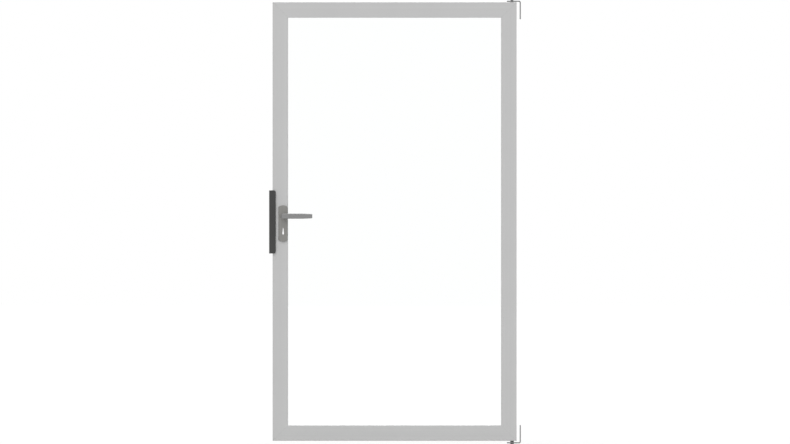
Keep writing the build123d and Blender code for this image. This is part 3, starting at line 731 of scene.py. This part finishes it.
def metal_finish(name, value, cells_per_metre, roughness, contrast=0.05, warm=0.0, metallic=0.75):
    """Bare metal with drawn lines. Contrast is how much the tone changes from line to line."""
    finish, tree, shader, place = new_finish(name, metallic)
    lines = use_group(tree, drawn_lines, Vector=place, Cells_per_metre=cells_per_metre, Band_share=0.35)
    feed(tree, two_greys(tree, lines["Tone"], value, contrast, warm), shader.inputs["Base Color"])
    haze_over(tree, shader, place, patches=30.0, clear=roughness - 0.05, hazy=roughness + 0.07)
    raise_surface(tree, shader, lines["Height"], strength=0.3, depth=0.03 * MM)
    return finish


plate_metal = metal_finish("handle_plate_metal", 0.240, UP, 0.36, contrast=0.09, warm=0.03)
lever_metal = metal_finish("lever_metal", 0.246, ACROSS, 0.34, contrast=0.06)
faceplate_metal = metal_finish("faceplate_metal", 0.40, UP, 0.32)
bolt_metal = metal_finish("polished_bolt_metal", 0.46, ACROSS, 0.28)
pin_metal = metal_finish("pin_metal", 0.150, ROUND, 0.34)
screw_metal = metal_finish("screw_metal", 0.36, ROUND, 0.30)
lock_metal = metal_finish("lock_case_metal", 0.34, UP, 0.42)
spindle_metal = metal_finish("spindle_metal", 0.33, ROUND, 0.36)
print("bare metals ready")

# %% [markdown]
# Painted and zinc-coated pieces
#
# The keep is dark and even, with the fine skin of powder paint. The pivot brackets are bent steel with a
# grey zinc coat, a little glossier and more mottled. The corner castings inside the frame have a coarser
# skin. These share the orange-peel group with different grain, tone and metal.

# %% Finish: coats and castings
def coat_finish(
    name, value, roughness, grains, patches, contrast=0.06, metallic=0.0, gloss=0.5, relief=0.05
):
    """An even coat with a fine skin. Grains and patches are per metre, and relief is in millimetres."""
    finish, tree, shader, place = new_finish(name, metallic)
    shader.inputs["Specular IOR Level"].default_value = gloss
    skin = use_group(tree, orange_peel, Vector=place, Grains_per_metre=grains, Patches_per_metre=patches)
    feed(tree, two_greys(tree, skin["Mottle"], value, contrast), shader.inputs["Base Color"])
    haze_over(tree, shader, place, patches=18.0, clear=roughness - 0.04, hazy=roughness + 0.05)
    raise_surface(tree, shader, skin["Height"], strength=0.4, depth=relief * MM)
    return finish


keep_paint = coat_finish("keep_paint", 0.046, 0.44, 900.0, 12.0, gloss=0.35)
bracket_zinc = coat_finish("bracket_zinc", 0.212, 0.40, 700.0, 60.0, contrast=0.1, metallic=0.7)
casting_skin = coat_finish("corner_casting_skin", 0.45, 0.55, 500.0, 30.0, metallic=0.6)
bush_plastic = coat_finish("bush_plastic", 0.62, 0.42, 1500.0, 40.0, contrast=0.02, relief=0.01)
block_plastic = coat_finish("block_plastic", 0.58, 0.55, 1200.0, 40.0, contrast=0.03, relief=0.02)
ring_plastic = coat_finish("ring_plastic", 0.075, 0.5, 1500.0, 60.0, contrast=0.04, relief=0.01)
gasket_rubber = coat_finish("gasket_rubber", 0.47, 0.62, 2500.0, 25.0, contrast=0.04, relief=0.02)
buffer_rubber = coat_finish("black_buffer_rubber", 0.02, 0.66, 2500.0, 25.0, contrast=0.1, relief=0.02)
print("coats ready")

# %% [markdown]
# Clear glass
#
# A thick toughened pane is all but colourless face on and faintly green along its edge. The rollers that
# carry it through the furnace leave a very shallow wave, which a soft bump across the height repeats.
# Shadow and bounce rays go straight through a Transparent shader instead, because plain refraction would
# leave the pane's shadow black.

# %% Finish: the pane
ROLLER_WAVES = (0.3, 0.3, 3.5)
EDGE_DEPTH = 1.0 * MM
FACE_TINT = (0.993, 1.0, 0.997, 1.0)
EDGE_TINT = (0.62, 0.86, 0.74, 1.0)
SHADOW_TINT = (0.93, 0.96, 0.94, 1.0)
pane_low, pane_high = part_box("glass_pane")
pane_middle = middle(pane_low, pane_high)
pane_half = (pane_high - pane_low) / 2


def pane_finish():
    """Clear glass with a green edge and a slight roller wave, open to shadow and diffuse rays."""
    finish, tree, shader, place = new_finish("clear_pane")
    parts = put(tree, "ShaderNodeSeparateXYZ")
    feed(tree, place, parts.inputs[0])
    near_edge = []
    for axis in "xz":
        from_middle = calculate(tree, "SUBTRACT", parts.outputs[axis.upper()], getattr(pane_middle, axis))
        reach = calculate(tree, "ABSOLUTE", from_middle)
        near_edge.append(calculate(tree, "GREATER_THAN", reach, getattr(pane_half, axis) - EDGE_DEPTH))
    edge = calculate(tree, "MAXIMUM", *near_edge)
    feed(tree, mixed(tree, edge, FACE_TINT, EDGE_TINT), shader.inputs["Base Color"])
    shader.inputs["Roughness"].default_value = 0.0
    shader.inputs["IOR"].default_value = 1.5
    shader.inputs["Transmission Weight"].default_value = 1.0
    wave = noise(tree, calculate_vector(tree, "MULTIPLY", place, ROLLER_WAVES), 1.0, 0.0)
    raise_surface(tree, shader, wave, strength=0.02, depth=0.1 * MM)
    clear = put(tree, "ShaderNodeBsdfTransparent")
    clear.inputs["Color"].default_value = SHADOW_TINT
    ray = put(tree, "ShaderNodeLightPath")
    passing = calculate(tree, "MAXIMUM", ray.outputs["Is Shadow Ray"], ray.outputs["Is Diffuse Ray"])
    mix = put(tree, "ShaderNodeMixShader")
    feed(tree, passing, mix.inputs[0])
    feed(tree, shader.outputs[0], mix.inputs[1])
    feed(tree, clear.outputs[0], mix.inputs[2])
    feed(tree, mix.outputs[0], tree.nodes["Material Output"].inputs["Surface"])
    return finish


clear_pane = pane_finish()
print(clear_pane.name)

# %% [markdown]
# Give every piece its finish
#
# The record already sorts the solids into slots such as the profile or the screws. One table goes from
# slot to finish, and the few slots whose pieces lie in two directions are told apart by name. Solids keep
# their mesh, and only their material changes. A new or eased piece takes the finish of the solid that it
# stands for.

# %% Hand out the finishes
finish_of_slot = {
    "pane": clear_pane,
    "glazing_gasket": gasket_rubber,
    "glazing_block": block_plastic,
    "corner_casting": casting_skin,
    "bracket_steel": bracket_zinc,
    "pin_steel": pin_metal,
    "bush": bush_plastic,
    "lock_steel": lock_metal,
    "faceplate_steel": faceplate_metal,
    "bolt_metal": bolt_metal,
    "spindle_steel": spindle_metal,
    "screw_steel": screw_metal,
    "lever_ring": ring_plastic,
    "keep_coating": keep_paint,
    "buffer_rubber": buffer_rubber,
}
level_pieces = ("top_rail", "bottom_rail", "glazing_bead_top", "glazing_bead_bottom")
slot_of_node = {part["node"]: part["material_slot"] for part in frame["record"]["subparts"]}


def finish_for(node):
    """The finish of a solid, from its slot and, where that isn't enough, its name."""
    slot = slot_of_node[node]
    if slot == "frame_profile":
        return profile_level if node in level_pieces else profile_upright
    if slot == "handle_metal":
        return plate_metal if "plate" in node else lever_metal
    return finish_of_slot[slot]


def wear(piece, finish):
    """Makes a finish the piece's only material."""
    piece.data.materials.clear()
    piece.data.materials.append(finish)


for node, solid in nodes.items():
    wear(solid, finish_for(node))
for node, piece in eased.items():
    wear(piece, finish_for(node))
for piece in (bottom_pin, top_pin, nut):
    wear(piece, pin_metal)
for piece in grub_screws:
    wear(piece, screw_metal)
print(len(nodes), "solids dressed")

# %% [markdown]
# Let each new piece ride its body
#
# Every new piece rides on the body of the solid it stands for, so it swings, turns or stays with it. The
# grub screws turn with the levers.

# %% Ride and replace
bodies = frame["record"]["behaviour"]["bodies"]
body_of_node = {node: body for body, held in bodies.items() for node in held}
stand_ins = dict(eased)
stand_ins["bottom_pivot_pin"] = bottom_pin
stand_ins["top_pivot_pin"] = top_pin
stand_ins["bottom_pin_nut"] = nut
for node, piece in stand_ins.items():
    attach(piece, body_of_node[node])
    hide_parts(node)
for piece in grub_screws:
    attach(piece, body_of_node["outer_lever"])
print(len(stand_ins), "stand-ins and", len(grub_screws), "grub screws")

# %% [markdown]
# Floor
#
# A pale plane just under the lowest point catches the shadow. It is lit like anything else. Rays from the
# camera, from metal and from glass also see a little light of its own, just enough for the lit floor to
# read as white there, and it throws no more light on the door for that.

# %% Add the floor
FLOOR_DROP = 0.5 * MM
FLOOR_SIZE = 200.0
FLOOR_PAINT = 0.72
FLOOR_GLOW = 0.28
floor_level = cad_box[0].z - FLOOR_DROP


def seen_ray(tree):
    """1 for rays from the camera, from a gloss or through glass, and 0 for the rest."""
    ray = put(tree, "ShaderNodeLightPath").outputs
    return calculate(
        tree, "MAXIMUM", ray["Is Camera Ray"],
        calculate(tree, "MAXIMUM", ray["Is Glossy Ray"], ray["Is Transmission Ray"]),
    )


bpy.ops.object.select_all(action="DESELECT")
bpy.ops.mesh.primitive_plane_add(size=FLOOR_SIZE, location=(0, 0, floor_level))
floor = name_new("floor")
place_into_mesh(floor)
floor_paint, tree, shader, place = new_finish("floor_paint")
speck = noise(tree, place, 6.0, 3.0)
feed(tree, two_greys(tree, speck, FLOOR_PAINT, contrast=0.01), shader.inputs["Base Color"])
shader.inputs["Roughness"].default_value = 0.9
shader.inputs["Specular IOR Level"].default_value = 0.0
shader.inputs["Emission Color"].default_value = (1.0, 1.0, 1.0, 1.0)
feed(tree, calculate(tree, "MULTIPLY", seen_ray(tree), FLOOR_GLOW), shader.inputs["Emission Strength"])
wear(floor, floor_paint)
print("floor at", round(floor_level, 4))

# %% [markdown]
# Light
#
# The light is that of a white studio. The world shows as white to the camera, to metal and to glass, and
# lights everything else more gently. Two wide, soft suns add the rest: one high in front, a little to the
# left, and a weaker one behind for the far side. A sun lights the foot and the head of a tall door alike,
# which a lamp nearby could not. Their strengths are set so that a grey card facing the camera would
# render as the grey it is.

# %% Set the world and the suns
WORLD_SEEN = 1.0
WORLD_LIGHT = 0.48
world = bpy.data.worlds.new("white_studio")
bpy.context.scene.world = world
world.use_nodes = True
tree = world.node_tree
background = tree.nodes["Background"]
background.inputs["Color"].default_value = (1.0, 1.0, 1.0, 1.0)
world_strength = spread(tree, seen_ray(tree), 0.0, 1.0, WORLD_LIGHT, WORLD_SEEN)
feed(tree, world_strength, background.inputs["Strength"])


def soft_sun(name, azimuth, elevation, width, strength):
    """A sun from a direction. All angles are in degrees: azimuth 0 is the front, and 90 the right."""
    bpy.ops.object.select_all(action="DESELECT")
    bpy.ops.object.light_add(type="SUN", location=(0, 0, leaf_size.z))
    lamp = name_new(name)
    lamp.data.energy = strength
    lamp.data.angle = math.radians(width)
    lamp.rotation_euler = (math.radians(90 - elevation), 0, math.radians(azimuth))


soft_sun("front_sun", azimuth=-14, elevation=46, width=50, strength=1.42)
soft_sun("back_sun", azimuth=160, elevation=46, width=50, strength=1.0)
print("world and two suns")

# %% [markdown]
# Camera
#
# The photograph is a plain front view without perspective: the depth of the frame doesn't show along its
# edges. So the camera stands far back with a very long lens. The width of the whole picture, measured at
# the leaf's front face, and the distance give the focal length.

# %% Set the camera
PICTURE_WIDTH = 3.6917
CAMERA_HEIGHT = 1.0467
CAMERA_DISTANCE = 60.0
SENSOR_WIDTH = 36.0
bpy.ops.object.camera_add(
    location=(0, leaf_low.y - CAMERA_DISTANCE, CAMERA_HEIGHT), rotation=(math.radians(90), 0, 0)
)
camera = name_new("front_camera")
camera.data.sensor_width = SENSOR_WIDTH
camera.data.lens = SENSOR_WIDTH * CAMERA_DISTANCE / PICTURE_WIDTH
camera.data.clip_end = 5 * CAMERA_DISTANCE
bpy.context.scene.camera = camera
bpy.context.scene.view_settings.view_transform = "Standard"
print("lens", round(camera.data.lens, 1), "mm")
